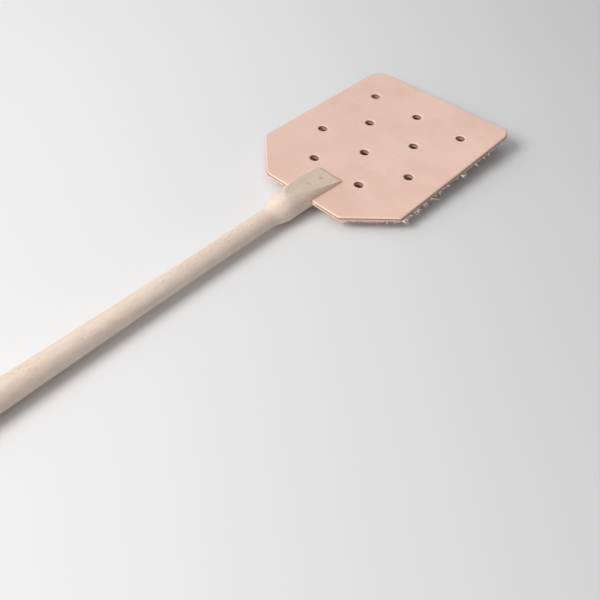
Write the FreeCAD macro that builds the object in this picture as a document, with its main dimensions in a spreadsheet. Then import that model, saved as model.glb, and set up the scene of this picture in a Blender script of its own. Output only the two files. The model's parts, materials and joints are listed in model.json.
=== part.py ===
import FreeCAD, Part
import os
import Sketcher

# A fly swatter: a turned beech handle whose head is planed to a thin jaw, a flap of
# thick leather in the jaw's sawn slot, the glue that holds it there and two wooden pins.
#
# Frame: +X along the handle towards the flap, +Z up, millimetres. The origin lies under
# the middle of the whole object. Each piece is drawn with its own zero on the handle's
# axis, at the front edge of the jaw, and one Placement carries them all into the frame.
#
# The flap is one sheet of leather. It bends just in front of the jaw, so it is made as
# two solids: flap_root, which is held in the jaw, and flap_blade, which swings.

doc = FreeCAD.newDocument("FlySwatter")
sheet = doc.addObject("Spreadsheet::Sheet", "dims")

DIMENSIONS = {
    # handle, from the butt to the front edge of the jaw
    "handle_length": 338.5,
    "grip_radius": 8.1,
    "neck_radius": 5.0,
    "head_radius": 8.1,             # at the front of the jaw
    "head_back_radius": 7.9,        # where the flare ends and the planed faces begin
    "grip_length": 42.0,            # even part at the butt, its domed end included
    "dome_radius": 12.0,
    "dome_edge": 2.0,               # rounding between the dome and the grip
    "swell_neck_reach": 120.0,      # the long swell keeps near the neck's size, then
    "swell_grip_reach": 21.0,       # near the grip's
    "neck_length": 6.0,
    "flare_length": 15.5,
    "flare_neck_reach": 5.0,
    "flare_head_reach": 7.0,
    "head_length": 33.5,
    # jaw
    "lip_thickness": 1.0,           # wood above and below the slot at the front edge
    "jaw_overlap": 22.0,            # leather inside the slot
    "glue_thickness": 0.15,
    "glue_inset": 1.0,              # glue stops short of the sides of the head
    # hole to hang the swatter by
    "hanging_radius": 2.5,
    "hanging_inset": 18.0,
    # pins through the jaw and the leather
    "pin_radius": 1.5,
    "pin_inset": 7.0,
    "pin_spacing": 9.7,
    # leather
    "leather_thickness": 2.6,
    "flap_width": 95.2,
    "flap_length": 123.5,
    "back_edge_width": 49.6,
    "shoulder_length": 23.2,        # slanted sides, measured along the handle
    "shoulder_rounding": 6.0,
    "corner_rounding": 8.0,
    # line where the leather bends, in front of the jaw, and the gap kept open there
    "bend_offset": 2.0,
    "bend_gap": 0.3,
    # air holes, in rows of two and three by turns
    "air_hole_radius": 2.5,
    "first_row": 6.0,
    "row_pitch": 23.6,
    "pair_spacing": 30.9,
    "triple_spacing": 30.0,
}

for row, (alias, value) in enumerate(DIMENSIONS.items(), start=1):
    sheet.set("A%d" % row, alias)
    sheet.set("B%d" % row, str(value))
    sheet.setAlias("B%d" % row, alias)
doc.recompute()

# Places worked out from the dimensions, written once and used in many expressions.
SLOT_HALF = "(dims.leather_thickness / 2 + dims.glue_thickness)"
JAW_HALF = "(%s + dims.lip_thickness)" % SLOT_HALF
SLOT_DEPTH = "(dims.jaw_overlap + dims.glue_thickness)"
FREE_LENGTH = "(dims.flap_length - dims.jaw_overlap)"
SHOULDER_END = "(dims.shoulder_length - dims.jaw_overlap)"
ROOT_FRONT = "(dims.bend_offset - dims.leather_thickness / 2 - dims.bend_gap)"
FRAME_X = "(dims.handle_length - %s) / 2" % FREE_LENGTH
FRAME_Z = "max(dims.head_back_radius; dims.grip_radius)"
CLEAR = 4.0      # how far a cutting outline runs past the solid it cuts


def value_of(expression):
    """Number that an expression of sheet cells has now."""
    return float(sheet.evalExpression(expression))


def new_body(name):
    body = doc.addObject("PartDesign::Body", name)
    body.Label = name
    body.setExpression("Placement.Base.x", FRAME_X)
    body.setExpression("Placement.Base.z", FRAME_Z)
    return body


def new_sketch(body, name, plane="XZ_Plane"):
    """Sketch on one of the body's own origin planes."""
    sketch = body.newObject("Sketcher::SketchObject", name)
    support = [f for f in body.Origin.OriginFeatures if f.Role == plane][0]
    sketch.AttachmentSupport = [(support, "")]
    sketch.MapMode = "FlatFace"
    return sketch


def tie_point(sketch, edge, end, across, up):
    """Hold one end of an edge at two distances from the sketch's zero, as expressions."""
    for kind, distance in (("DistanceX", across), ("DistanceY", up)):
        if value_of(distance) == 0.0:
            on_axis = -2 if kind == "DistanceX" else -1
            sketch.addConstraint(Sketcher.Constraint("PointOnObject", edge, end, on_axis))
            continue
        tie = sketch.addConstraint(
            Sketcher.Constraint(kind, -1, 1, edge, end, value_of(distance)))
        sketch.setExpression("Constraints[%d]" % tie, distance)


def polygon(sketch, corners):
    """Closed outline of straight edges through corners given as pairs of expressions."""
    points = [FreeCAD.Vector(value_of(a), value_of(b), 0) for a, b in corners]
    count = len(points)
    edges = [sketch.addGeometry(Part.LineSegment(points[i], points[(i + 1) % count]))
             for i in range(count)]
    for i, edge in enumerate(edges):
        following = edges[(i + 1) % count]
        sketch.addConstraint(Sketcher.Constraint("Coincident", edge, 2, following, 1))
    for edge, (across, up) in zip(edges, corners):
        tie_point(sketch, edge, 1, across, up)
    return edges


def circle(sketch, across, up, radius):
    centre = FreeCAD.Vector(value_of(across), value_of(up), 0)
    up_axis = FreeCAD.Vector(0, 0, 1)
    edge = sketch.addGeometry(Part.Circle(centre, up_axis, value_of(radius)))
    tie_point(sketch, edge, 3, across, up)
    size = sketch.addConstraint(Sketcher.Constraint("Radius", edge, value_of(radius)))
    sketch.setExpression("Constraints[%d]" % size, radius)


def arc_through(start, middle, end):
    return Part.Arc(FreeCAD.Vector(*start), FreeCAD.Vector(*middle), FreeCAD.Vector(*end))


def add_s_curve(sketch, start, end, start_reach, end_reach):
    """Smooth curve that leaves one point level and arrives level at another.

    start and end are pairs of expressions. Each reach is how far the curve keeps near
    the level of its end, as the length of the handle of a Bezier curve's end.
    """
    towards = "" if value_of(end[0]) > value_of(start[0]) else "-"
    away = "-" if towards == "" else ""
    corners = [
        start,
        ("%s + %s1 * (%s)" % (start[0], towards, start_reach), start[1]),
        ("%s + %s1 * (%s)" % (end[0], away, end_reach), end[1]),
        end,
    ]
    curve = Part.BSplineCurve()
    poles = [FreeCAD.Vector(value_of(a), value_of(b), 0) for a, b in corners]
    curve.buildFromPolesMultsKnots(poles, [4, 4], [0.0, 1.0], False, 3)
    edge = sketch.addGeometry(curve)
    sketch.exposeInternalGeometry(edge)
    for pole, (across, up) in enumerate(corners, start=1):
        tie_point(sketch, edge + pole, 3, across, up)
    return edge


def pad_both_ways(body, name, sketch, length):
    pad = body.newObject("PartDesign::Pad", name)
    pad.Profile = sketch
    pad.SideType = "Symmetric"
    pad.setExpression("Length", length)
    return pad


def cut_through(body, name, sketch):
    """Pocket through the whole body, both ways from the sketch, checked for a real cut."""
    doc.recompute()
    before = body.Shape.Volume
    pocket = body.newObject("PartDesign::Pocket", name)
    pocket.Profile = sketch
    pocket.SideType = "Symmetric"
    pocket.Type = "ThroughAll"
    doc.recompute()
    if not body.Shape.Volume < before:
        raise RuntimeError("%s cuts nothing" % name)
    return pocket


def join_ends(sketch, first, second):
    sketch.addConstraint(Sketcher.Constraint("Coincident", first[0], first[1],
                                             second[0], second[1]))


def add_line(sketch, start, end):
    a = FreeCAD.Vector(value_of(start[0]), value_of(start[1]), 0)
    b = FreeCAD.Vector(value_of(end[0]), value_of(end[1]), 0)
    return sketch.addGeometry(Part.LineSegment(a, b))


def facet_outlines(sketch):
    """Waste above and below the two planed faces of the jaw."""
    back = "-dims.head_length"
    outside = "dims.head_radius + %g" % CLEAR
    front = "%g" % CLEAR
    drop = "(dims.head_back_radius - %s) / dims.head_length" % JAW_HALF
    for sign in ("", "-"):
        polygon(sketch, [
            (back, "%s(dims.head_back_radius)" % sign),
            (back, "%s(%s)" % (sign, outside)),
            (front, "%s(%s)" % (sign, outside)),
            (front, "%s(%s - %s * %g)" % (sign, JAW_HALF, drop, CLEAR)),
        ])


def pin_outlines(sketch):
    for inset in ("dims.pin_inset", "dims.pin_inset + dims.pin_spacing"):
        circle(sketch, "-(%s)" % inset, "0", "dims.pin_radius")


# ---- handle: turned, then sawn, planed and drilled --------------------------------
def make_handle():
    body = new_body("handle")
    profile = new_sketch(body, "turned_profile")
    butt = "-dims.handle_length"
    head_back = "-dims.head_length"
    neck_front = "-(dims.head_length + dims.flare_length)"
    neck_back = "-(dims.head_length + dims.flare_length + dims.neck_length)"
    grip_front = "%s + dims.grip_length" % butt
    dome_depth = "(dims.dome_radius - sqrt(dims.dome_radius^2 - dims.grip_radius^2))"
    dome_front = "%s + %s" % (butt, dome_depth)

    # the dome is part of a circle centred on the axis
    depth, rim = value_of(dome_depth), value_of("dims.grip_radius")
    x_butt, radius = value_of(butt), value_of("dims.dome_radius")
    x_middle = x_butt + radius - (radius ** 2 - (rim / 2) ** 2) ** 0.5
    dome = profile.addGeometry(
        arc_through((x_butt, 0, 0), (x_middle, rim / 2, 0), (x_butt + depth, rim, 0)))
    grip = add_line(profile, (dome_front, "dims.grip_radius"), (grip_front, "dims.grip_radius"))
    swell = add_s_curve(
        profile, (grip_front, "dims.grip_radius"), (neck_back, "dims.neck_radius"),
        "dims.swell_grip_reach", "dims.swell_neck_reach")
    neck = add_line(profile, (neck_back, "dims.neck_radius"), (neck_front, "dims.neck_radius"))
    flare = add_s_curve(
        profile, (neck_front, "dims.neck_radius"), (head_back, "dims.head_back_radius"),
        "dims.flare_neck_reach", "dims.flare_head_reach")
    head = add_line(
        profile, (head_back, "dims.head_back_radius"), ("0", "dims.head_radius"))
    front = add_line(profile, ("0", "dims.head_radius"), ("0", "0"))
    axis = add_line(profile, ("0", "0"), (butt, "0"))

    # an arc is stored anticlockwise: the dome's first end is its rim
    join_ends(profile, (axis, 2), (dome, 2))
    join_ends(profile, (dome, 1), (grip, 1))
    join_ends(profile, (grip, 2), (swell, 1))
    join_ends(profile, (swell, 2), (neck, 1))
    join_ends(profile, (neck, 2), (flare, 1))
    join_ends(profile, (flare, 2), (head, 1))
    join_ends(profile, (head, 2), (front, 1))
    join_ends(profile, (front, 2), (axis, 1))
    join_ends(profile, (front, 2), (-1, 1))
    tie_point(profile, dome, 2, butt, "0")
    profile.addConstraint(Sketcher.Constraint("PointOnObject", dome, 3, -1))
    size = profile.addConstraint(Sketcher.Constraint("Radius", dome, radius))
    profile.setExpression("Constraints[%d]" % size, "dims.dome_radius")
    profile.addConstraint(Sketcher.Constraint("Horizontal", grip))
    profile.addConstraint(Sketcher.Constraint("Vertical", front))
    rise = profile.addConstraint(
        Sketcher.Constraint("DistanceY", -1, 1, head, 2, value_of("dims.head_radius")))
    profile.setExpression("Constraints[%d]" % rise, "dims.head_radius")
    doc.recompute()

    turned = body.newObject("PartDesign::Revolution", "turned")
    turned.Profile = profile
    turned.ReferenceAxis = (profile, ["H_Axis"])
    turned.Angle = 360
    doc.recompute()

    rim_edges = ["Edge%d" % (i + 1) for i, edge in enumerate(body.Shape.Edges)
                 if abs(edge.BoundBox.XMax - edge.BoundBox.XMin) < 1e-6
                 and abs(edge.BoundBox.XMin - x_butt - depth - value_of(FRAME_X)) < 0.01]
    rounded = body.newObject("PartDesign::Fillet", "rounded_butt")
    rounded.Base = (turned, rim_edges)
    rounded.setExpression("Radius", "dims.dome_edge")
    doc.recompute()

    slot = new_sketch(body, "slot_outline")
    polygon(slot, [
        ("-" + SLOT_DEPTH, "-" + SLOT_HALF),
        ("%g" % CLEAR, "-" + SLOT_HALF),
        ("%g" % CLEAR, SLOT_HALF),
        ("-" + SLOT_DEPTH, SLOT_HALF),
    ])
    cut_through(body, "sawn_slot", slot)

    facets = new_sketch(body, "facet_outline")
    facet_outlines(facets)
    cut_through(body, "planed_facets", facets)

    drilling = new_sketch(body, "drilling_outline", "XY_Plane")
    pin_outlines(drilling)
    cut_through(body, "pin_holes", drilling)

    hanging = new_sketch(body, "hanging_outline", "XY_Plane")
    circle(hanging, "dims.hanging_inset - dims.handle_length", "0", "dims.hanging_radius")
    cut_through(body, "hanging_hole", hanging)
    return body


# ---- leather: one sheet, made as the held root and the swinging blade --------------
def sheet_outline(sketch):
    """The whole flap: short back edge, slanted shoulders, straight sides and far edge."""
    back = "-dims.jaw_overlap"
    half = "dims.flap_width / 2"
    half_back = "dims.back_edge_width / 2"
    polygon(sketch, [
        (back, "-(%s)" % half_back),
        (SHOULDER_END, "-(%s)" % half),
        (FREE_LENGTH, "-(%s)" % half),
        (FREE_LENGTH, half),
        (SHOULDER_END, half),
        (back, half_back),
    ])


def upright_edges(body, place):
    """Names of the body's upright edges that stand at one of the given places."""
    names = []
    for number, edge in enumerate(body.Shape.Edges, start=1):
        box = edge.BoundBox
        upright = box.XLength < 1e-6 and box.YLength < 1e-6
        for across, along in place:
            near_x = abs(box.XMin - value_of(FRAME_X) - across) < 0.01
            if upright and near_x and abs(abs(box.YMin) - along) < 0.01:
                names.append("Edge%d" % number)
    return names


def cut_across(body, name, low, high):
    """Remove the stretch of the sheet between two places along the handle."""
    outline = new_sketch(body, name + "_outline", "XY_Plane")
    half = "(dims.flap_width / 2 + %g)" % CLEAR
    polygon(outline, [(low, "-" + half), (high, "-" + half), (high, half), (low, half)])
    return cut_through(body, name, outline)


def make_flap_root():
    body = new_body("flap_root")
    outline = new_sketch(body, "sheet_outline", "XY_Plane")
    sheet_outline(outline)
    sheet_pad = pad_both_ways(body, "hide", outline, "dims.leather_thickness")
    doc.recompute()
    rounding = body.newObject("PartDesign::Fillet", "rounded_shoulders")
    corners = [(value_of("-dims.jaw_overlap"), value_of("dims.back_edge_width / 2"))]
    rounding.Base = (sheet_pad, upright_edges(body, corners))
    rounding.setExpression("Radius", "dims.shoulder_rounding")
    cut_across(body, "bend_cut", ROOT_FRONT, "%s + %g" % (FREE_LENGTH, CLEAR))
    drilling = new_sketch(body, "root_pin_outline", "XY_Plane")
    pin_outlines(drilling)
    cut_through(body, "root_pin_holes", drilling)
    return body


def make_flap_blade():
    body = new_body("flap_blade")
    outline = new_sketch(body, "blade_outline", "XY_Plane")
    sheet_outline(outline)
    blade = pad_both_ways(body, "blade", outline, "dims.leather_thickness")
    doc.recompute()
    rounding = body.newObject("PartDesign::Fillet", "rounded_corners")
    corners = [(value_of(FREE_LENGTH), value_of("dims.flap_width / 2"))]
    rounding.Base = (blade, upright_edges(body, corners))
    rounding.setExpression("Radius", "dims.corner_rounding")
    cut_across(body, "bend_clearance", "-dims.jaw_overlap - %g" % CLEAR, "dims.bend_offset")

    # the edge that turns at the bend line is half round, so it swings clear of the root
    slant = "(dims.flap_width - dims.back_edge_width) / dims.shoulder_length"
    width_at_bend = "dims.flap_width - %s * max(0; %s - dims.bend_offset)" % (
        slant, SHOULDER_END)
    roll_outline = new_sketch(body, "roll_outline")
    circle(roll_outline, "dims.bend_offset", "0", "dims.leather_thickness / 2")
    pad_both_ways(body, "roll", roll_outline, width_at_bend)
    doc.recompute()

    holes = new_sketch(body, "air_hole_outline", "XY_Plane")
    for line in range(4):
        along = "dims.first_row + %d * dims.row_pitch" % line
        if line % 2 == 0:
            places = ["-dims.pair_spacing / 2", "dims.pair_spacing / 2"]
        else:
            places = ["-dims.triple_spacing", "0", "dims.triple_spacing"]
        for place in places:
            circle(holes, along, place, "dims.air_hole_radius")
    cut_through(body, "air_holes", holes)
    return body


# ---- glue: a film above, below and behind the leather in the slot ------------------
def make_glue_film():
    body = new_body("glue_film")
    outline = new_sketch(body, "film_outline")
    leather = "(dims.leather_thickness / 2)"
    polygon(outline, [
        ("-" + SLOT_DEPTH, "-" + SLOT_HALF),
        ("0", "-" + SLOT_HALF),
        ("0", "-" + leather),
        ("-dims.jaw_overlap", "-" + leather),
        ("-dims.jaw_overlap", leather),
        ("0", leather),
        ("0", SLOT_HALF),
        ("-" + SLOT_DEPTH, SLOT_HALF),
    ])
    pad_both_ways(body, "film", outline, "2 * (dims.head_radius - dims.glue_inset)")
    drilling = new_sketch(body, "film_pin_outline", "XY_Plane")
    pin_outlines(drilling)
    cut_through(body, "film_pin_holes", drilling)
    return body


# ---- pins: wooden dowels, driven through and planed flush with the jaw -------------
def make_pin(name, inset):
    body = new_body(name)
    outline = new_sketch(body, name + "_outline", "XY_Plane")
    circle(outline, "-(%s)" % inset, "0", "dims.pin_radius")
    pad_both_ways(body, name + "_dowel", outline, "2 * dims.head_radius")
    doc.recompute()
    facets = new_sketch(body, name + "_facets")
    facet_outlines(facets)
    cut_through(body, name + "_planed", facets)
    return body


parts = [
    make_handle(),
    make_flap_root(),
    make_flap_blade(),
    make_glue_film(),
    make_pin("front_pin", "dims.pin_inset"),
    make_pin("rear_pin", "dims.pin_inset + dims.pin_spacing"),
]
doc.recompute()

for obj in doc.Objects:
    if "Invalid" in obj.State or "Error" in obj.State:
        raise RuntimeError("%s did not compute: %s" % (obj.Name, obj.State))
for part in parts:
    if part.Shape.isNull() or not part.Shape.isValid() or len(part.Shape.Solids) != 1:
        raise RuntimeError("%s is not one sound solid" % part.Label)

os.makedirs("parts", exist_ok=True)
for part in parts:
    part.Shape.exportStep(os.path.join("parts", part.Label + ".step"))
    box = part.Shape.optimalBoundingBox(True, True)
    print("%-11s %8.1f mm3  x %.2f..%.2f  y %.2f..%.2f  z %.2f..%.2f" % (
        part.Label, part.Shape.Volume, box.XMin, box.XMax, box.YMin, box.YMax,
        box.ZMin, box.ZMax))
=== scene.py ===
import json
import math
import random

import bmesh
import bpy
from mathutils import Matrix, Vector, noise

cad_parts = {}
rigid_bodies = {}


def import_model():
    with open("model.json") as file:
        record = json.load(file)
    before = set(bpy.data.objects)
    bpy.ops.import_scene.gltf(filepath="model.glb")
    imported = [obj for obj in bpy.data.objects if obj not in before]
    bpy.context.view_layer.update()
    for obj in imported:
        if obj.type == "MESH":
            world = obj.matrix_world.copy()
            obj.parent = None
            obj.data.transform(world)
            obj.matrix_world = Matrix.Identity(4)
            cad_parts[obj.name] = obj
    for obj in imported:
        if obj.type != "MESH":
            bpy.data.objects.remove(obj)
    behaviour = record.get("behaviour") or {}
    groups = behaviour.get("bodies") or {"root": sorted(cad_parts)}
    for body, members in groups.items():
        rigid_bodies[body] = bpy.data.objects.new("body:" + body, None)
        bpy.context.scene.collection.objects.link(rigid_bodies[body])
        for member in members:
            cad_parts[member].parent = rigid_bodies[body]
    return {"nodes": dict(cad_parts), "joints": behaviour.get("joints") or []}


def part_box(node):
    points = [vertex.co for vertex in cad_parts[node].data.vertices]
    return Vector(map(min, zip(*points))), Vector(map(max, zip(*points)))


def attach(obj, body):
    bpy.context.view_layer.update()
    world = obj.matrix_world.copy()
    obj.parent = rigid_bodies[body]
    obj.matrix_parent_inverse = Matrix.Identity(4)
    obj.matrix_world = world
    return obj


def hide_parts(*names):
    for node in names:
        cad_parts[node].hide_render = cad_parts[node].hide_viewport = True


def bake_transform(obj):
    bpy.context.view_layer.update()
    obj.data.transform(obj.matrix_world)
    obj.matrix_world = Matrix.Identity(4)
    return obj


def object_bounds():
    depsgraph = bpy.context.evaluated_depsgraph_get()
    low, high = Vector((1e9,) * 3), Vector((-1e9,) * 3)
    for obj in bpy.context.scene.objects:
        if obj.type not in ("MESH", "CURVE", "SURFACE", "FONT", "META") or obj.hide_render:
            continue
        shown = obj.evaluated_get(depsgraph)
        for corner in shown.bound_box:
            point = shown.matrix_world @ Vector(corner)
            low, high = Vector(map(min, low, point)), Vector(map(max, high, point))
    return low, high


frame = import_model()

bl_info = {
    "name": "Leather Fly Swatter",
    "version": (1, 0, 0),
    "blender": (4, 5, 0),
    "location": "3D View > Sidebar > Swatter",
    "description": "Turned beech handle, punched leather flap and a studio to look at them in",
    "category": "Object",
}

MM = 0.001
CAD_LOW, CAD_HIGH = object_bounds()
HANDLE_LOW, HANDLE_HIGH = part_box("handle")
ROOT_LOW, ROOT_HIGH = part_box("flap_root")
BLADE_LOW, BLADE_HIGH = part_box("flap_blade")
GLUE_LOW, GLUE_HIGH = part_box("glue_film")
HINGE = Vector(frame["joints"][0]["pos_m"])
AXIS_Z = HINGE.z                      # height of the handle's centre line
JAW_X = HANDLE_HIGH.x                 # front of the jaw
PINS = [(sum(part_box(pin), Vector()) / 2, (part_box(pin)[1].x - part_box(pin)[0].x) / 2)
        for pin in ("front_pin", "rear_pin")]


# ---- what a user would change ---------------------------------------------------
def length(name, about, value):
    return bpy.props.FloatProperty(name=name, description=about, default=value,
                                   subtype="DISTANCE", unit="LENGTH", precision=5)


def angle(name, about, degrees):
    return bpy.props.FloatProperty(name=name, description=about, subtype="ANGLE",
                                   unit="ROTATION", default=math.radians(degrees))


def colour(name, about, value):
    return bpy.props.FloatVectorProperty(name=name, description=about, default=value,
                                         subtype="COLOR", size=3, min=0, max=1)


def place(name, about, value):
    return bpy.props.FloatVectorProperty(name=name, description=about, default=value,
                                         subtype="TRANSLATION", unit="LENGTH", size=3,
                                         precision=5)


def amount(name, about, value, highest=1000.0):
    return bpy.props.FloatProperty(name=name, description=about, default=value,
                                   min=0, max=highest)


class HandleSettings(bpy.types.PropertyGroup):
    grip_radius: length("Grip radius", "Radius at the butt", 8.1 * MM)
    neck_radius: length("Neck radius", "Radius where the handle is thinnest", 5.0 * MM)
    head_radius: length("Head radius", "Radius at the front of the jaw", 8.1 * MM)
    head_back_radius: length("Head back radius", "Radius where the flare ends", 7.9 * MM)
    grip_length: length("Grip length", "Even part at the butt", 42 * MM)
    dome_radius: length("Dome radius", "Radius of the rounded butt", 12 * MM)
    dome_edge: length("Dome edge", "Rounding between the dome and the grip", 2 * MM)
    head_length: length("Head length", "From the end of the flare to the jaw's front",
                        33.5 * MM)
    flare_length: length("Flare length", "From the neck out to the head", 15.5 * MM)
    flare_neck_reach: length("Flare, neck reach", "How far the flare keeps near the neck's size",
                             5 * MM)
    flare_head_reach: length("Flare, head reach", "How far the flare keeps near the head's size",
                             7 * MM)
    swell_neck_reach: length("Swell, neck reach", "How far the swell keeps near the neck's size",
                             120 * MM)
    swell_grip_reach: length("Swell, grip reach", "How far the swell keeps near the grip's size",
                             21 * MM)
    neck_length: length("Neck length", "Even part at the neck", 6 * MM)
    head_aside: length("Head aside", "How far the head's back stands off the line", 0.9 * MM)
    lip_thickness: length("Lip thickness", "Wood over the leather at the jaw's front", 1 * MM)
    hanging_radius: length("Hanging hole radius", "Radius of the hole near the butt", 2.5 * MM)
    hanging_inset: length("Hanging hole inset", "From the butt to the hole", 18 * MM)
    soft_edge: length("Soft edge", "How far sharp edges of the wood are sanded", 0.3 * MM)
    light_wood: colour("Light wood", "Pale rings of the beech", (0.855, 0.71, 0.60))
    dark_wood: colour("Dark wood", "Darker rings of the beech", (0.765, 0.61, 0.505))
    planed_wood: colour("Planed wood", "Planed faces of the jaw", (0.775, 0.63, 0.50))
    peach: colour("Peach", "Warmer patches of the beech", (0.83, 0.62, 0.49))
    fleck: colour("Fleck", "Short dark flecks in the beech", (0.36, 0.22, 0.15))
    end_grain: colour("End grain", "Ends of the dowel pins", (0.54, 0.40, 0.30))
    glue: colour("Glue", "Dried wood glue", (0.50, 0.36, 0.20))


class LeatherSettings(bpy.types.PropertyGroup):
    back_edge: length("Back edge", "Width of the leather inside the head", 49.6 * MM)
    shoulder_rounding: length("Shoulder rounding", "Radius at the shoulders", 6 * MM)
    lit_corner: length("Left far corner", "Radius of the far corner on the left", 9.5 * MM)
    shaded_corner: length("Right far corner", "Radius of the far corner on the right", 6.5 * MM)
    hole_radius: length("Air hole radius", "Radius of the punched holes", 2.5 * MM)
    first_row: length("First row", "From the jaw to the first row of holes", 6 * MM)
    row_pitch: length("Row pitch", "Between two rows of holes", 23.6 * MM)
    pair_spacing: length("Pair spacing", "Between the holes of a pair", 30.9 * MM)
    triple_spacing: length("Triple spacing", "Between the holes of a row of three", 30 * MM)
    top_rounding: length("Top edge rounding", "Rounding of the top edge", 0.95 * MM)
    hole_rounding: length("Hole rounding", "Rounding of the holes' top edges", 0.5 * MM)
    cell: length("Cell", "Spacing of the cuts that let the flap bend", 1.4 * MM)
    lean: angle("Lean", "Flap leans up from the jaw", 0.83)
    swing: angle("Swing", "Flap is turned sideways in the jaw", -0.41)
    droop: length("Droop", "Far edge bends up", 0.58 * MM)
    twist: length("Twist", "Far corners are up and down", -2.97 * MM)
    cup: length("Cup", "Both far corners bend up", 0.38 * MM)
    grain: colour("Grain", "Natural grain side", (0.80, 0.56, 0.47))
    grain_dark: colour("Darker grain", "Clouds in the grain side", (0.74, 0.495, 0.405))
    # pale colour for the rim: partly wear, partly a painted highlight; it also paints the
    # highlight round the air holes
    rim_wear_and_highlight: colour("Rubbed rim", "Where the grain is rubbed pale", (0.90, 0.74, 0.65))
    # this colour also paints the line in front of the jaw, which is partly its mark and partly
    # painted shadow
    pore_and_jaw_shade: colour("Pore", "Pores and the mark of the jaw", (0.46, 0.27, 0.20))
    edge_dark: colour("Edge, dark", "Cut edge near both faces", (0.36, 0.205, 0.15))
    edge_light: colour("Edge, light", "Middle of the cut edge", (0.74, 0.53, 0.435))
    hole_wall: colour("Hole wall", "Punched walls of the air holes", (0.32, 0.18, 0.13))
    flesh: colour("Flesh", "Rough under side", (0.62, 0.46, 0.37))
    fibre: colour("Fibre", "Loose fibres on the under side", (0.97, 0.92, 0.87))
    strands: bpy.props.IntProperty(name="Strands", description="Loose fibres for each 100 mm",
                                   default=380, min=0, max=2000)


class StudioSettings(bpy.types.PropertyGroup):
    floor: colour("Floor", "Pale floor near the window", (0.815, 0.815, 0.82))
    # this far tone paints the floor greyer away from the window, as painted shade for the
    # light's falloff
    floor_painted_shade: colour("Floor, far", "Pale floor away from the window", (0.595, 0.595, 0.605))
    window_from: place("Window place", "Middle of the big soft light", (-1.52, 0.45, 1.46))
    window_size: length("Window size", "Side of the big soft light", 0.9)
    window_power: amount("Window power", "Power of the big soft light in watts", 38.5)
    sky_from: place("Sky side", "Side that the wide light of the room comes from",
                    (-0.60, 0.25, 0.76))
    sky: amount("Sky", "Strength of the room's light on its bright side", 0.95)
    horizon: amount("Horizon", "Strength of the room's light on its dark side", 0.04)
    backdrop: amount("Backdrop", "Brightness of the plain background", 0.72)
    camera_at: place("Camera place", "Where the camera stands",
                     (-0.205645, -0.233964, 0.322916))
    camera_turn: bpy.props.FloatVectorProperty(
        name="Camera turn", description="How the camera is turned", subtype="EULER",
        unit="ROTATION", size=3,
        default=[math.radians(a) for a in (44.1423, -4.6466, -48.3109)])
    lens: bpy.props.FloatProperty(name="Lens", description="Focal length in millimetres",
                                  default=57.37, min=10, max=300)


# ---- the bench: selecting, cutting, finishing ------------------------------------
def nothing_selected():
    if bpy.context.object and bpy.context.object.mode != "OBJECT":
        bpy.ops.object.mode_set(mode="OBJECT")
    for o in bpy.context.view_layer.objects:
        o.select_set(False)


def take(piece):
    nothing_selected()
    piece.select_set(True)
    bpy.context.view_layer.objects.active = piece


def new_piece(name):
    """The primitive just added, named, ready to be shaped in edit mode."""
    piece = bpy.context.object
    piece.name = piece.data.name = name
    take(piece)
    bpy.ops.object.transform_apply(location=True, rotation=True, scale=True)
    bpy.ops.object.mode_set(mode="EDIT")
    return piece


def pick(piece, kind, test):
    """Selects the faces, edges or points that pass the test, and no others."""
    bpy.ops.mesh.select_mode(type={"faces": "FACE", "edges": "EDGE", "verts": "VERT"}[kind])
    bpy.ops.mesh.select_all(action="DESELECT")
    mesh = bmesh.from_edit_mesh(piece.data)
    found = [e for e in getattr(mesh, kind) if test(e)]
    for e in found:
        e.select_set(True)
    mesh.select_flush_mode()
    bmesh.update_edit_mesh(piece.data)
    return len(found)


def middle(e):
    return sum((v.co for v in e.verts), Vector()) / len(e.verts)


def apply_modifier(piece, kind, **settings):
    take(piece)
    modifier = piece.modifiers.new(kind.lower(), kind)
    for name, value in settings.items():
        setattr(modifier, name, value)
    bpy.ops.object.modifier_apply(modifier=modifier.name)


def cut_with(piece, cutters):
    for cutter in cutters:
        apply_modifier(piece, "BOOLEAN", operation="DIFFERENCE", solver="EXACT", object=cutter)
        bpy.data.objects.remove(cutter)


def drill(x, y, z, radius, depth, sides=48):
    """Round cutter standing upright."""
    nothing_selected()
    bpy.ops.mesh.primitive_cylinder_add(vertices=sides, radius=radius, depth=depth,
                                        location=(x, y, z))
    bpy.ops.object.transform_apply(location=True, rotation=True, scale=True)
    return bpy.context.object


def slab(low, high):
    """Flat cutter between two corners."""
    nothing_selected()
    bpy.ops.mesh.primitive_cube_add(size=1, location=(low + high) / 2, scale=high - low)
    bpy.ops.object.transform_apply(location=True, rotation=True, scale=True)
    return bpy.context.object


def slice_across(axis, start, stop, step):
    """Cuts the piece being edited at even steps, so that it can bend."""
    normal = Vector((axis == "x", axis == "y", axis == "z"))
    count = max(1, round((stop - start) / step))
    for i in range(1, count):
        bpy.ops.mesh.select_all(action="SELECT")
        bpy.ops.mesh.bisect(plane_co=normal * (start + (stop - start) * i / count),
                            plane_no=normal)


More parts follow.
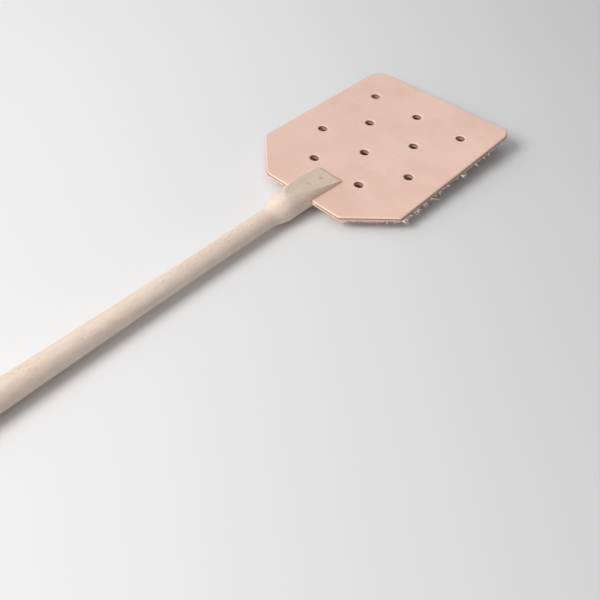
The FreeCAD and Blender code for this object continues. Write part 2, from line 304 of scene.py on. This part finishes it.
# ---- materials: nodes in plain words ----------------------------------------------
class Recipe:
    """A node material that is put together step by step."""

    def __init__(self, name, **shader):
        self.material = bpy.data.materials.new(name)
        self.material.use_nodes = True
        self.tree = self.material.node_tree
        self.shader = self.tree.nodes["Principled BSDF"]
        self.column = 0
        for socket, value in shader.items():
            self.shader.inputs[socket.replace("_", " ")].default_value = value

    def node(self, kind, **settings):
        made = self.tree.nodes.new("ShaderNode" + kind)
        self.column += 1
        made.location = (-220 * (1 + self.column % 7), -260 * (self.column // 7))
        for name, value in settings.items():
            setattr(made, name, value)
        return made

    def join(self, out, into):
        self.tree.links.new(out, into)

    def spread(self, stretch):
        """Object coordinates, stretched."""
        place = self.node("TexCoord")
        mapping = self.node("Mapping")
        mapping.inputs["Scale"].default_value = stretch
        self.join(place.outputs["Object"], mapping.inputs["Vector"])
        return mapping.outputs["Vector"]

    def clouds(self, where, scale, detail=3.0, roughness=0.5, wander=0.0):
        made = self.node("TexNoise")
        made.inputs["Scale"].default_value = scale
        made.inputs["Detail"].default_value = detail
        made.inputs["Roughness"].default_value = roughness
        made.inputs["Distortion"].default_value = wander
        self.join(where, made.inputs["Vector"])
        return made.outputs["Fac"]

    def cells(self, where, scale, feature="F1", out="Distance"):
        made = self.node("TexVoronoi", feature=feature)
        made.inputs["Scale"].default_value = scale
        self.join(where, made.inputs["Vector"])
        return made.outputs[out]

    def range(self, value, low, high, to_low=0.0, to_high=1.0):
        made = self.node("MapRange", interpolation_type="SMOOTHSTEP")
        for name, number in (("From Min", low), ("From Max", high),
                             ("To Min", to_low), ("To Max", to_high)):
            made.inputs[name].default_value = number
        self.join(value, made.inputs["Value"])
        return made.outputs["Result"]

    def sum(self, a, b, operation="ADD"):
        made = self.node("Math", operation=operation)
        for i, value in enumerate((a, b)):
            if isinstance(value, (int, float)):
                made.inputs[i].default_value = value
            else:
                self.join(value, made.inputs[i])
        return made.outputs[0]

    def blend(self, share, a, b, mode="MIX"):
        made = self.node("Mix", data_type="RGBA", blend_type=mode)
        for i, value in ((0, share), (6, a), (7, b)):
            if isinstance(value, (int, float)):
                made.inputs[i].default_value = value
            elif isinstance(value, (tuple, list)):
                made.inputs[i].default_value = (*value[:3], 1)
            else:
                self.join(value, made.inputs[i])
        return made.outputs[2]

    def attribute(self, name):
        return self.node("Attribute", attribute_name=name).outputs["Fac"]

    def relief(self, height, depth, strength=1.0, under=None):
        bump = self.node("Bump")
        bump.inputs["Strength"].default_value = strength
        bump.inputs["Distance"].default_value = depth
        self.join(height, bump.inputs["Height"])
        if under is not None:
            self.join(under, bump.inputs["Normal"])
        return bump.outputs["Normal"]

    def finish(self, colour, roughness=None, normal=None):
        self.join(colour, self.shader.inputs["Base Color"])
        if roughness is not None:
            self.join(roughness, self.shader.inputs["Roughness"])
        if normal is not None:
            self.join(normal, self.shader.inputs["Normal"])
        return self.material


def beech_wood(s, name, pale, dark, flecked):
    """Fine sanded beech: faint rings, fine streaks, short dark flecks along the grain."""
    r = Recipe(name, Roughness=0.62)
    rings = r.clouds(r.spread((4, 95, 60)), 1.0, 2.0, 0.5, 0.6)
    streaks = r.clouds(r.spread((25, 460, 460)), 1.0, 3.0, 0.6, 0.2)
    fine = r.clouds(r.spread((160, 2300, 2300)), 1.0, 3.0, 0.65)
    wood = r.blend(r.range(rings, 0.38, 0.62), pale, dark)
    wood = r.blend(r.range(streaks, 0.5, 0.8, 0.0, 0.30), wood, dark)
    wood = r.blend(r.range(fine, 0.52, 0.78, 0.0, 0.24), wood, list(s.fleck))
    warm = r.clouds(r.spread((30, 140, 140)), 1.0, 2.0)
    wood = r.blend(r.range(warm, 0.48, 0.70, 0.0, 0.6), wood, list(s.peach))
    dashes = r.cells(r.spread((270, 1350, 1350)), 1.0)
    where = r.range(r.sum(rings, r.clouds(r.spread((45, 190, 190)), 1.0, 2.0)), 0.90, 1.10)
    flecks = r.sum(r.range(dashes, 0.08, 0.42, 1.0, 0.0), where, "MULTIPLY")
    mottle = r.clouds(r.spread((130, 380, 380)), 1.0, 3.0, 0.6, 0.3)
    wood = r.blend(r.range(mottle, 0.42, 0.66, 0.0, 0.55), wood, dark)
    wood = r.blend(r.sum(flecks, flecked, "MULTIPLY"), wood, list(s.fleck))
    rough = r.range(streaks, 0.3, 0.7, 0.56, 0.70)
    normal = r.relief(fine, 0.00006, 0.7)
    normal = r.relief(flecks, -0.00004, 0.6, normal)
    return r.finish(wood, rough, normal)


def beech_end_grain(s):
    """Ends of the dowel pins: darker, with fine pores, planed with the head."""
    r = Recipe("beech_end_grain", Roughness=0.66)
    where = r.spread((1, 1, 1))
    pores = r.cells(where, 3600)
    tone = r.clouds(where, 700, 3.0)
    wood = r.blend(r.range(tone, 0.3, 0.7), list(s.end_grain), list(s.dark_wood))
    wood = r.blend(r.range(pores, 0.12, 0.3, 0.5, 0.0), wood, list(s.fleck))
    return r.finish(wood, r.range(tone, 0.3, 0.7, 0.6, 0.72),
                    r.relief(pores, 0.00005, 0.5))


def dried_glue(s):
    """Thin amber line of wood glue in the slot."""
    r = Recipe("dried_glue", Roughness=0.4)
    where = r.spread((1, 1, 1))
    tone = r.clouds(where, 500, 3.0)
    body = r.blend(r.range(tone, 0.3, 0.7), list(s.glue), tuple(0.6 * c for c in s.glue))
    return r.finish(body, r.range(tone, 0.3, 0.7, 0.3, 0.55), r.relief(tone, 0.00008, 0.5))


def leather_grain(s):
    """Natural tanned grain side: soft clouds, fine pores, a pale rim that is partly wear and
    partly a painted highlight, a painted highlight round the air holes, and a dark line in front
    of the jaw that is partly its mark and partly painted shadow.
    """
    r = Recipe("leather_grain", Roughness=0.55, Sheen_Weight=0.06, Sheen_Roughness=0.5)
    where = r.spread((1, 1, 1))
    clouds = r.clouds(where, 32, 3.0, 0.55, 0.3)
    mottle = r.clouds(where, 300, 4.0, 0.65, 0.3)
    pores = r.cells(where, 1300)
    wrinkles = r.cells(where, 560, "DISTANCE_TO_EDGE")
    rim = r.attribute("rim")
    skin = r.blend(r.range(clouds, 0.38, 0.66, 0.0, 0.8), list(s.grain), list(s.grain_dark))
    skin = r.blend(r.range(mottle, 0.45, 0.8, 0.0, 0.55), skin, list(s.grain_dark))
    skin = r.blend(r.range(pores, 0.05, 0.30, 0.20, 0.0), skin, list(s.pore_and_jaw_shade))
    # pale rim along the outline: partly wear, partly a painted highlight
    skin = r.blend(r.range(rim, 0.0, 0.09, 0.15, 0.0), skin, list(s.rim_wear_and_highlight))
    # painted highlight round the top edges of the air holes
    skin = r.blend(r.sum(r.attribute("hole_rim"), 0.45, "MULTIPLY"), skin, list(s.rim_wear_and_highlight))
    # dark line in front of the jaw: partly the jaw's mark, partly painted shadow
    skin = r.blend(r.sum(r.attribute("jaw_mark"), 0.8, "MULTIPLY"), skin, list(s.pore_and_jaw_shade))
    rough = r.range(mottle, 0.3, 0.75, 0.54, 0.68)
    normal = r.relief(wrinkles, 0.00006, 0.4)
    normal = r.relief(pores, 0.00005, 0.5, normal)
    normal = r.relief(mottle, 0.00012, 0.5, normal)
    crease = r.sum(r.range(rim, 0.10, 0.15, 0.0, 1.0), r.range(rim, 0.15, 0.22, 1.0, 0.0),
                   "MULTIPLY")
    normal = r.relief(crease, -0.00006, 0.5, normal)
    return r.finish(skin, rough, normal)


def leather_cut_edge(s, name, dark, light):
    """Cut edge: dark near both faces, paler in the middle, rough with fibres."""
    r = Recipe(name, Roughness=0.8)
    depth = r.attribute("depth")
    streaks = r.clouds(r.spread((500, 500, 2600)), 1.0, 4.0, 0.65)
    band = r.sum(r.range(depth, 0.46, 0.60), r.range(depth, 0.82, 0.96, 1.0, 0.0), "MULTIPLY")
    band = r.sum(band, r.range(streaks, 0.3, 0.6, 0.35, 1.1), "MULTIPLY")
    body = r.blend(band, dark, light)
    body = r.blend(r.range(streaks, 0.55, 0.75, 0.0, 0.35), body, list(s.flesh))
    return r.finish(body, r.range(streaks, 0.3, 0.7, 0.7, 0.9),
                    r.relief(streaks, 0.00025, 0.8))


def leather_flesh(s):
    """Rough under side: napped, uneven, paler threads running all ways."""
    r = Recipe("leather_flesh", Roughness=0.92, Sheen_Weight=0.25, Sheen_Roughness=0.6)
    where = r.spread((1, 1, 1))
    nap = r.clouds(where, 900, 5.0, 0.7, 0.8)
    patches = r.clouds(where, 70, 3.0, 0.6, 0.6)
    threads = r.cells(r.spread((1, 1.6, 1)), 420, "DISTANCE_TO_EDGE")
    body = r.blend(r.range(patches, 0.35, 0.68), list(s.flesh), list(s.grain_dark))
    body = r.blend(r.range(nap, 0.5, 0.75, 0.0, 0.6), body, list(s.fibre))
    body = r.blend(r.range(threads, 0.0, 0.10, 0.30, 0.0), body, list(s.edge_light))
    normal = r.relief(nap, 0.0005, 0.8)
    normal = r.relief(threads, 0.0002, 0.4, normal)
    return r.finish(body, r.range(nap, 0.3, 0.7, 0.85, 0.98), normal)


def loose_fibre(s):
    """Pale collagen strands, some browner than others."""
    r = Recipe("loose_fibre", Roughness=0.9, Sheen_Weight=0.2, Sheen_Roughness=0.5)
    where = r.spread((1, 1, 1))
    tone = r.clouds(where, 380, 2.0)
    body = r.blend(r.range(tone, 0.35, 0.68, 0.0, 0.6), list(s.fibre), list(s.flesh))
    return r.finish(body, r.range(tone, 0.3, 0.7, 0.8, 0.95),
                    r.relief(r.clouds(where, 4000, 2.0), 0.00004, 0.5))


def pale_floor(s):
    """Plain floor, painted a little greyer away from the window: painted shade standing in for
    the falloff of the window's light.
    """
    r = Recipe("pale_floor", Roughness=0.7)
    tone = r.clouds(r.spread((1, 1, 1)), 6, 2.0)
    away = r.node("VectorMath", operation="DOT_PRODUCT")
    away.inputs[1].default_value = (0.6, -0.8, 0)
    r.join(r.spread((1, 1, 1)), away.inputs[0])
    # painted shade: the floor turns greyer along this direction, away from the window
    body = r.blend(r.range(away.outputs["Value"], -0.12, 0.36),
                   list(s.floor), list(s.floor_painted_shade))
    return r.finish(body, r.range(tone, 0.3, 0.7, 0.62, 0.7))


# ---- the handle --------------------------------------------------------------------
def s_curve(start, end, start_reach, end_reach, steps):
    """Stations on a smooth curve that leaves one radius level and arrives level at another."""
    made = []
    for i in range(1, steps + 1):
        t = i / steps
        x = ((1 - t) ** 3 * start[0] + 3 * (1 - t) ** 2 * t * (start[0] + start_reach)
             + 3 * (1 - t) * t * t * (end[0] - end_reach) + t ** 3 * end[0])
        made.append((x, start[1] + (end[1] - start[1]) * (3 * t * t - 2 * t ** 3)))
    return made


def turned_stations(s):
    """(x, radius) along the handle, from the butt to the front of the head."""
    butt, head_back = HANDLE_LOW.x, JAW_X - s.head_length
    neck_front = head_back - s.flare_length
    neck_back = neck_front - s.neck_length
    centre = butt + s.dome_radius
    rim_radius = s.grip_radius - s.dome_edge * 0.75
    steps = 6
    made = []
    for i in range(1, steps + 1):
        radius = rim_radius * math.sin(math.pi / 2 * i / steps)
        made.append((centre - math.sqrt(s.dome_radius ** 2 - radius ** 2), radius))
    x, radius = made[-1]
    for turn in (25, 45, 65, 90):          # rounded edge between dome and grip
        a = math.radians(turn)
        forward = 0.9 * (1 - math.cos(a)) + 0.25 * math.sin(a)
        made.append((x + forward * s.dome_edge,
                     radius + (s.grip_radius - radius) * math.sin(a)))
    made += s_curve((butt + s.grip_length, s.grip_radius), (neck_back, s.neck_radius),
                    s.swell_grip_reach, s.swell_neck_reach, 44)
    made += [(neck_back + s.neck_length / 2, s.neck_radius), (neck_front, s.neck_radius)]
    made += s_curve((neck_front, s.neck_radius), (head_back, s.head_back_radius),
                    s.flare_neck_reach, s.flare_head_reach, 16)
    widening = s.head_radius - s.head_back_radius
    made += [(head_back + s.head_length * i / 8, s.head_back_radius + widening * i / 8)
             for i in range(1, 9)]
    return made


def stand_aside(x, s):
    """How far the middle of the turned head stands off the handle's line."""
    def eased(t):
        t = min(1.0, max(0.0, t))
        return t * t * (3 - 2 * t)

    head_back = JAW_X - s.head_length
    return (s.head_aside * eased((x - head_back + s.flare_length) / (s.flare_length + 5 * MM))
            * eased((JAW_X - x) / (s.head_length - 8 * MM)))


class SWATTER_OT_handle(bpy.types.Operator):
    """Turn the beech handle, plane and saw its jaw, and drill it"""
    bl_idname = "swatter.handle"
    bl_label = "Turned handle"

    def execute(self, context):
        s = context.scene.swatter_handle
        stations = turned_stations(s)
        nothing_selected()
        bpy.ops.mesh.primitive_circle_add(
            vertices=96, radius=stations[0][1], fill_type="NOTHING",
            location=(stations[0][0], 0, AXIS_Z), rotation=(0, math.pi / 2, 0))
        handle = new_piece("turned_handle")
        bpy.ops.mesh.select_all(action="SELECT")
        for (x, radius), (next_x, next_radius) in zip(stations, stations[1:]):
            aside = stand_aside(next_x, s)
            bpy.ops.mesh.extrude_region_move(TRANSFORM_OT_translate={
                "value": (next_x - x, aside - stand_aside(x, s), 0)})
            share = next_radius / radius
            bpy.ops.transform.resize(value=(1, share, share),
                                     center_override=(next_x, aside, AXIS_Z))
        bpy.ops.mesh.edge_face_add()
        butt = HANDLE_LOW.x
        first = stations[0][0]
        pick(handle, "edges", lambda e: all(abs(v.co.x - first) < 1e-6 for v in e.verts))
        bpy.ops.mesh.extrude_region_move(TRANSFORM_OT_translate={"value": (butt - first, 0, 0)})
        bpy.ops.mesh.merge(type="CENTER")
        bpy.ops.mesh.select_all(action="SELECT")
        bpy.ops.mesh.normals_make_consistent(inside=False)

        # the two planed faces of the jaw
        jaw_half = (GLUE_HIGH.z - GLUE_LOW.z) / 2 + s.lip_thickness
        slope = (s.head_back_radius - jaw_half) / s.head_length
        for side in (1, -1):
            bpy.ops.mesh.select_all(action="SELECT")
            bpy.ops.mesh.bisect(plane_co=(JAW_X, 0, AXIS_Z + side * jaw_half),
                                plane_no=Vector((slope, 0, side)).normalized(),
                                use_fill=True, clear_outer=True)
        nothing_selected()

        # saw slot, pin holes and hanging hole
        cutters = [slab(Vector((GLUE_LOW.x, -0.02, GLUE_LOW.z)),
                        Vector((JAW_X + 0.01, 0.02, GLUE_HIGH.z)))]
        cutters += [drill(at.x, 0, AXIS_Z, radius, 0.03) for at, radius in PINS]
        cutters += [drill(butt + s.hanging_inset, 0, AXIS_Z, s.hanging_radius, 0.03, 64)]
        cut_with(handle, cutters)
        apply_modifier(handle, "BEVEL", width=s.soft_edge, segments=3, limit_method="ANGLE",
                       angle_limit=math.radians(32), use_clamp_overlap=True)
        take(handle)
        bpy.ops.object.shade_smooth_by_angle(angle=math.radians(38))
        apply_modifier(handle, "WEIGHTED_NORMAL", keep_sharp=True, weight=50)
        handle.data.materials.append(
            beech_wood(s, "turned_beech", list(s.light_wood), list(s.dark_wood), 0.42))
        handle.data.materials.append(
            beech_wood(s, "planed_beech", list(s.planed_wood),
                       [0.93 * c for c in s.planed_wood], 0.4))
        for face in handle.data.polygons:
            face.material_index = int(
                face.center.x > JAW_X - s.head_length - MM
                and any((Vector((slope, 0, side)).normalized() - face.normal).length < 0.02
                        for side in (1, -1)))
        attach(handle, "handle")
        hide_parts("handle")

        for pin in ("front_pin", "rear_pin"):
            frame["nodes"][pin].data.materials.clear()
            frame["nodes"][pin].data.materials.append(beech_end_grain(s))
        frame["nodes"]["glue_film"].data.materials.clear()
        frame["nodes"]["glue_film"].data.materials.append(dried_glue(s))
        return {"FINISHED"}


# ---- the leather --------------------------------------------------------------------
def air_holes(s):
    """Centres of the punched holes, row by row from the jaw."""
    rows = []
    for row in range(4):
        x = JAW_X + s.first_row + row * s.row_pitch
        across = ([-s.pair_spacing / 2, s.pair_spacing / 2] if row % 2 == 0
                  else [-s.triple_spacing, 0, s.triple_spacing])
        rows += [Vector((x, y)) for y in across]
    return rows


def outline(s):
    """Corners of the leather, anticlockwise from the back edge on the right."""
    half, back = BLADE_HIGH.y, s.back_edge / 2
    shoulder = BLADE_LOW.x + 0.5 * MM
    return [Vector((ROOT_LOW.x, -back)), Vector((shoulder, -half)),
            Vector((BLADE_HIGH.x, -half)), Vector((BLADE_HIGH.x, half)),
            Vector((shoulder, half)), Vector((ROOT_LOW.x, back))]


def distance_in(point, corners):
    """How far a point of the leather is from the nearest side."""
    nearest = 1.0
    for a, b in zip(corners, corners[1:] + corners[:1]):
        along = b - a
        t = min(1, max(0, (point - a).dot(along) / along.length_squared))
        nearest = min(nearest, (a + along * t - point).length)
    return nearest


def settle(point, s):
    """Where a point of the flat leather lies once it leans, swings and twists."""
    run = point.x - JAW_X
    far = max(0.0, run / (BLADE_HIGH.x - JAW_X))
    side = point.y / BLADE_HIGH.y
    lift = s.droop * far * far + s.twist * far * side + s.cup * side * side * far
    if run > 0:
        lift += run * math.tan(s.lean)
        wave = noise.noise(Vector((point.x * 28, point.y * 28, 3.7)))
        lift += 0.16 * MM * wave * min(1.0, run / 0.02)
    turned = Vector((run, point.y)) if run < 0 else Vector(
        (run * math.cos(s.swing), point.y + run * math.sin(s.swing)))
    return Vector((JAW_X + turned.x, turned.y, point.z + lift))


class SWATTER_OT_leather_flap(bpy.types.Operator):
    """Cut the leather flap, punch its air holes, round its edges and bend it"""
    bl_idname = "swatter.leather_flap"
    bl_label = "Leather flap"

    def execute(self, context):
        s = context.scene.swatter_leather
        corners = outline(s)
        top, bottom = ROOT_HIGH.z, ROOT_LOW.z
        thick = top - bottom
        half, shoulder = BLADE_HIGH.y, corners[1].x
        nothing_selected()
        bpy.ops.mesh.primitive_cube_add(
            size=1, location=((shoulder + BLADE_HIGH.x) / 2, 0, (top + bottom) / 2),
            scale=(BLADE_HIGH.x - shoulder, 2 * half, thick))
        flap = new_piece("leather_flap")
        pick(flap, "faces", lambda f: f.normal.x < -0.9)
        bpy.ops.mesh.extrude_region_move(
            TRANSFORM_OT_translate={"value": (ROOT_LOW.x - shoulder, 0, 0)})
        bpy.ops.transform.resize(value=(1, s.back_edge / (2 * half), 1),
                                 center_override=(ROOT_LOW.x, 0, (top + bottom) / 2))

        # corners: a rounding reaches radius x tan(half the turn) along each side
        slant = math.atan2(half - s.back_edge / 2, shoulder - ROOT_LOW.x)
        for number, radius, turn in ((0, 0.7 * s.shoulder_rounding, math.pi / 2 - slant),
                                     (5, s.shoulder_rounding, math.pi / 2 - slant),
                                     (1, 0.35 * s.shoulder_rounding, slant),
                                     (4, s.shoulder_rounding, slant),
                                     (2, s.shaded_corner, math.pi / 2),
                                     (3, s.lit_corner, math.pi / 2)):
            corner = corners[number]
            pick(flap, "edges", lambda e: (middle(e).xy - corner).length < 1e-5
                 and abs(e.verts[0].co.z - e.verts[1].co.z) > thick / 2)
            bpy.ops.mesh.bevel(offset=radius * math.tan(turn / 2), segments=14,
                               affect="EDGES")
        nothing_selected()

        holes = air_holes(s)
        cut_with(flap, [drill(h.x, h.y, (top + bottom) / 2, s.hole_radius, 4 * thick, 40)
                        for h in holes])

        # soften the rims
        take(flap)
        bpy.ops.object.mode_set(mode="EDIT")

        def on_hole(e):
            return any((middle(e).xy - h).length < s.hole_radius * 1.05 for h in holes)

        def rim_at(height, holes_too):
            def test(e):
                level = all(abs(v.co.z - height) < 1e-6 for v in e.verts)
                upright = any(abs(f.normal.z) < 0.3 for f in e.link_faces)
                return level and upright and on_hole(e) == holes_too
            return test

        for height, holes_too, width, segments in (
                (top, False, s.top_rounding, 4), (top, True, s.hole_rounding, 3),
                (bottom, False, 0.3 * MM, 2), (bottom, True, 0.2 * MM, 2)):
            if not pick(flap, "edges", rim_at(height, holes_too)):
                raise RuntimeError("no rim to round on the leather")
            bpy.ops.mesh.bevel(offset=width, segments=segments, affect="EDGES")
        slice_across("x", ROOT_LOW.x, BLADE_HIGH.x, s.cell)
        slice_across("x", JAW_X, JAW_X + 2.4 * MM, 0.4 * MM)
        slice_across("y", -half, half, s.cell)
        slice_across("z", bottom + 0.3 * MM, top - s.top_rounding, 0.55 * MM)
        nothing_selected()

        # grain on top, cut edge round the sides and in the holes, flesh underneath
        for made in (leather_grain(s),
                     leather_cut_edge(s, "leather_cut_edge",
                                      list(s.edge_dark), list(s.edge_light)),
                     leather_flesh(s),
                     leather_cut_edge(s, "punched_wall", list(s.hole_wall),
                                      [1.8 * c for c in s.hole_wall])):
            flap.data.materials.append(made)
        for face in flap.data.polygons:
            punched = any((face.center.xy - h).length < 1.02 * s.hole_radius for h in holes)
            face.material_index = (0 if face.normal.z > 0.3 else 2 if face.normal.z < -0.3
                                   else 3 if punched else 1)
        marks_and_painted_light = ("rim", "depth", "jaw_mark", "hole_rim")
        for name in marks_and_painted_light:
            flap.data.attributes.new(name, "FLOAT", "POINT")
        rim, depth, mark, hole_rim = (flap.data.attributes[name] for name in marks_and_painted_light)
        for v in flap.data.vertices:
            reach = distance_in(v.co.xy, corners)
            rim.data[v.index].value = min(1.0, reach / (10 * MM))
            depth.data[v.index].value = (top - v.co.z) / thick
            # the strip just in front of the jaw: partly its mark, partly painted shadow
            mark.data[v.index].value = (abs(v.co.x - JAW_X - 1.2 * MM) < 0.7 * MM
                                        and abs(v.co.y) < 8.3 * MM)
            # painted highlight: marks the rims of the air holes to be painted pale
            hole_rim.data[v.index].value = any(
                (v.co.xy - h).length < s.hole_radius + 0.9 * s.hole_rounding for h in holes)
            # the cut edge is a little ragged below, and the whole sheet is bent
            ragged = 0.35 * MM * max(0.0, depth.data[v.index].value - 0.45)
            if reach < 0.4 * MM and ragged:
                sway = noise.noise_vector(v.co * 900)
                v.co += Vector((sway.x, sway.y, 0.6 * sway.z)) * ragged
            v.co = settle(v.co, s)
        flap.data.update()
        take(flap)
        bpy.ops.object.shade_smooth_by_angle(angle=math.radians(50))
        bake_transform(flap)
        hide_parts("flap_root", "flap_blade")
        return {"FINISHED"}


class SWATTER_OT_loose_fibres(bpy.types.Operator):
    """Leave loose fibres hanging from the cut edges of the leather's under side"""
    bl_idname = "swatter.loose_fibres"
    bl_label = "Loose fibres"

    def execute(self, context):
        s = context.scene.swatter_leather
        rng = random.Random(11)
        nothing_selected()
        bpy.ops.mesh.primitive_cone_add(vertices=4, radius1=0.5, radius2=0.12, depth=1,
                                        location=(0, 0, 0.5))
        strand = new_piece("strand")
        slice_across("z", 0.0, 1.0, 0.25)
        nothing_selected()
        shape = [v.co.copy() for v in strand.data.vertices]
        corners = outline(s)
        strands = []

        def grow(foot, out, along, size, thick, spread, drop, lift=0.0):
            """One strand from the cut edge, leaning out, hanging and curling."""
            base = Vector((foot.x, foot.y, ROOT_LOW.z + lift + rng.uniform(-0.05, 0.3) * MM))
            lean = Vector((out.x, out.y, 0)) * rng.uniform(0.5, 1.0)
            lean += Vector((along.x, along.y, 0)) * rng.gauss(0, spread)
            lean.z = -drop * rng.uniform(0.3, 1.0)
            lean.normalize()
            curl = Vector((rng.gauss(0, 1), rng.gauss(0, 1), rng.gauss(0, 0.6))) * 0.3
            turn = lean.to_track_quat("Z", "Y").to_matrix()
            copy = strand.data.copy()
            for v, rest in zip(copy.vertices, shape):
                bent = turn @ Vector((rest.x * thick, rest.y * thick, rest.z * size))
                v.co = settle(base + bent + curl * size * rest.z ** 2, s)
            made = bpy.data.objects.new("strand_copy", copy)
            context.collection.objects.link(made)
            strands.append(made)

        def tuft(root, out, along, reach, count, lift=0.0):
            """A few thicker strands from nearly one place."""
            for _ in range(count):
                foot = root + along * rng.gauss(0, 0.3) * MM
                grow(foot, out, along, reach * rng.uniform(0.4, 1.1),
                     rng.uniform(0.28, 0.5) * MM, 0.4, 0.12, lift)

        # share of strands on each side, how many tufts and their reach: most on the right
        sides = zip(corners, corners[1:] + corners[:1],
                    (1.3, 1.0, 0.4, 0.1, 0.1, 0.0), (9, 26, 3, 0, 0, 0),
                    (1.2, 2.6, 1.4, 1.0, 1.0, 1.0))
        for a, b, share, tufts, reach in sides:
            along = (b - a).normalized()
            out = Vector((along.y, -along.x))
            length_mm = (b - a).length / MM
            for _ in range(int(length_mm * share * s.strands / 100)):
                foot = a + (b - a) * rng.uniform(0.03, 0.97) - out * rng.uniform(0.1, 0.9) * MM
                grow(foot, out, along, rng.uniform(0.5, 1.5) * MM,
                     rng.uniform(0.08, 0.2) * MM, 0.8, 0.9)
            for number in range(tufts):
                share = ((number + rng.uniform(0.1, 0.9)) / tufts) ** 1.7
                root = a + (b - a) * (0.01 + 0.97 * share) - out * 0.5 * MM
                tuft(root, out, along, reach * rng.uniform(0.6, 1.4) * MM, rng.randint(3, 7))
        # frayed where the back edge comes out of the head on the right
        back = Vector((-1, 0))
        for aside in (0.6, 1.2, 2.0):
            tuft(Vector((ROOT_LOW.x + 0.4 * MM, -HANDLE_HIGH.y - aside * MM)), back,
                 Vector((0, -1)), 1.5 * MM, 11, 1.5 * MM)
        bpy.data.objects.remove(strand)
        nothing_selected()
        for made in strands:
            made.select_set(True)
        bpy.context.view_layer.objects.active = strands[0]
        bpy.ops.object.join()
        fibres = bpy.context.object
        fibres.name = fibres.data.name = "loose_fibres"
        fibres.data.materials.append(loose_fibre(s))
        take(fibres)
        bpy.ops.object.shade_smooth()
        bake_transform(fibres)
        return {"FINISHED"}


# ---- the studio -----------------------------------------------------------------------
class SWATTER_OT_studio(bpy.types.Operator):
    """Lay the floor, hang the lights and set up the camera"""
    bl_idname = "swatter.studio"
    bl_label = "Studio"

    def execute(self, context):
        s = context.scene.swatter_studio
        nothing_selected()
        bpy.ops.mesh.primitive_plane_add(size=12, location=(0, 0, CAD_LOW.z))
        floor = context.object
        floor.name = floor.data.name = "floor"
        floor.data.materials.append(pale_floor(s))

        at = Vector(s.window_from)
        bpy.ops.object.light_add(type="AREA", location=at)
        window = context.object
        window.name = "window"
        window.data.shape = "SQUARE"
        window.data.size = s.window_size
        window.data.energy = s.window_power
        window.data.color = (1.0, 0.985, 0.97)
        window.rotation_euler = (Vector((0.05, 0, 0)) - at).to_track_quat("-Z", "Y").to_euler()

        world = bpy.data.worlds.new("even_light")
        world.use_nodes = True
        nodes, links = world.node_tree.nodes, world.node_tree.links
        nodes["Background"].inputs["Color"].default_value = (0.98, 0.99, 1, 1)
        sky, toward = nodes.new("ShaderNodeTexCoord"), nodes.new("ShaderNodeVectorMath")
        toward.operation = "DOT_PRODUCT"
        toward.inputs[1].default_value = Vector(s.sky_from).normalized()
        fade = nodes.new("ShaderNodeMapRange")
        fade.interpolation_type = "SMOOTHSTEP"
        fade.inputs["From Min"].default_value = 0
        fade.inputs["To Min"].default_value = s.horizon
        fade.inputs["To Max"].default_value = s.sky
        links.new(sky.outputs["Generated"], toward.inputs[0])
        links.new(toward.outputs["Value"], fade.inputs["Value"])
        links.new(fade.outputs["Result"], nodes["Background"].inputs["Strength"])
        # what the camera sees past the floor is one plain tone
        plain, seen = nodes.new("ShaderNodeBackground"), nodes.new("ShaderNodeLightPath")
        plain.inputs["Color"].default_value = (0.98, 0.99, 1, 1)
        plain.inputs["Strength"].default_value = s.backdrop
        either = nodes.new("ShaderNodeMixShader")
        links.new(seen.outputs["Is Camera Ray"], either.inputs[0])
        links.new(nodes["Background"].outputs[0], either.inputs[1])
        links.new(plain.outputs[0], either.inputs[2])
        links.new(either.outputs[0], nodes["World Output"].inputs["Surface"])
        context.scene.world = world

        bpy.ops.object.camera_add(location=s.camera_at, rotation=s.camera_turn)
        camera = context.object
        camera.name = "camera"
        camera.data.sensor_width = 36
        camera.data.lens = s.lens
        camera.data.clip_start, camera.data.clip_end = 0.01, 50
        context.scene.camera = camera
        context.scene.view_settings.view_transform = "Standard"
        return {"FINISHED"}


class SWATTER_PT_panel(bpy.types.Panel):
    """Lists the pieces and their settings"""
    bl_label = "Fly swatter"
    bl_idname = "SWATTER_PT_panel"
    bl_space_type = "VIEW_3D"
    bl_region_type = "UI"
    bl_category = "Swatter"

    def draw(self, context):
        for label, group, operators in PARTS:
            box = self.layout.box()
            box.label(text=label)
            for operator in operators:
                box.operator(operator.bl_idname)
            settings = getattr(context.scene, group)
            for name in settings.bl_rna.properties.keys():
                if name not in ("rna_type", "name"):
                    box.prop(settings, name)


PARTS = (
    ("Handle", "swatter_handle", (SWATTER_OT_handle,)),
    ("Leather", "swatter_leather", (SWATTER_OT_leather_flap, SWATTER_OT_loose_fibres)),
    ("Studio", "swatter_studio", (SWATTER_OT_studio,)),
)
GROUPS = {"swatter_handle": HandleSettings, "swatter_leather": LeatherSettings,
          "swatter_studio": StudioSettings}
CLASSES = (HandleSettings, LeatherSettings, StudioSettings, SWATTER_OT_handle,
           SWATTER_OT_leather_flap, SWATTER_OT_loose_fibres, SWATTER_OT_studio,
           SWATTER_PT_panel)


def register():
    for made in CLASSES:
        bpy.utils.register_class(made)
    for name, group in GROUPS.items():
        setattr(bpy.types.Scene, name, bpy.props.PointerProperty(type=group))


def unregister():
    for name in GROUPS:
        delattr(bpy.types.Scene, name)
    for made in reversed(CLASSES):
        bpy.utils.unregister_class(made)


def main():
    register()
    bpy.ops.swatter.studio()
    bpy.ops.swatter.handle()
    bpy.ops.swatter.leather_flap()
    bpy.ops.swatter.loose_fibres()
    nothing_selected()


if __name__ == "__main__":
    main()
